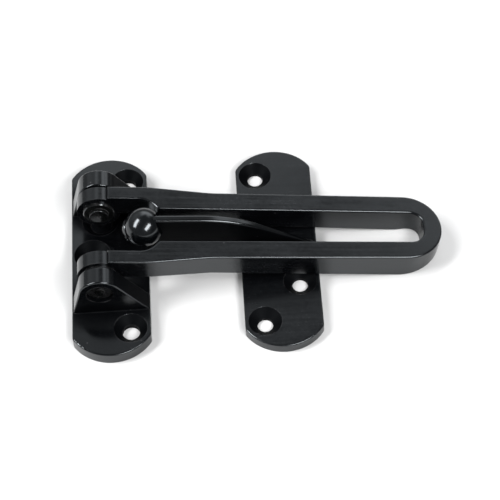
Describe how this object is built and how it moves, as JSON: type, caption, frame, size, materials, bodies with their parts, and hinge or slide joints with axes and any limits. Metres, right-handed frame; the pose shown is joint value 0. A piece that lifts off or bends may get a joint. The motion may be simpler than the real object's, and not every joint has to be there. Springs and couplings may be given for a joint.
{
  "type": "swing bar door guard",
  "caption": "Swing-bar door guard: slotted bar hinged on a lugged plate, and a keeper plate whose curved arm carries a ball that the slot captures, so a door opens only a little.",
  "frame": {"origin": "centre of the hinge plate's back face", "axes": "+X along the bar to its free end and over the keeper, +Y along the hinge axis, +Z out of the door"},
  "size_m": [0.1252, 0.0804, 0.0257],
  "materials": {
    "cast_black": "satin black coating on cast metal",
    "bar_black": "satin black coating, faintly grained",
    "pin_black": "glossy black coating on turned metal",
    "washer_dark": "dark oiled steel",
    "plate_black": "satin black coating with a fine brushed grain",
    "arm_black": "semi-gloss black coating",
    "ball_black": "glossy black coating"
  },
  "bodies": {
    "base": {"hinge_plate": "cast_black", "hinge_pin_near": "pin_black", "hinge_pin_far": "pin_black", "rivet_washer_near": "washer_dark", "rivet_washer_far": "washer_dark", "spring_washer_near": "washer_dark", "spring_washer_far": "washer_dark", "keeper_plate": "plate_black", "keeper_arm": "arm_black", "ball": "ball_black", "ball_cap": "ball_black"},
    "bar": {"swing_bar": "bar_black"}
  },
  "joints": [
    {"name": "swing_bar", "type": "hinge", "parent": "base", "child": "bar", "pos_m": [-0.0028, 0, 0.0147], "axis": [0, -1, 0], "range_deg": [0, 190]}
  ]
}
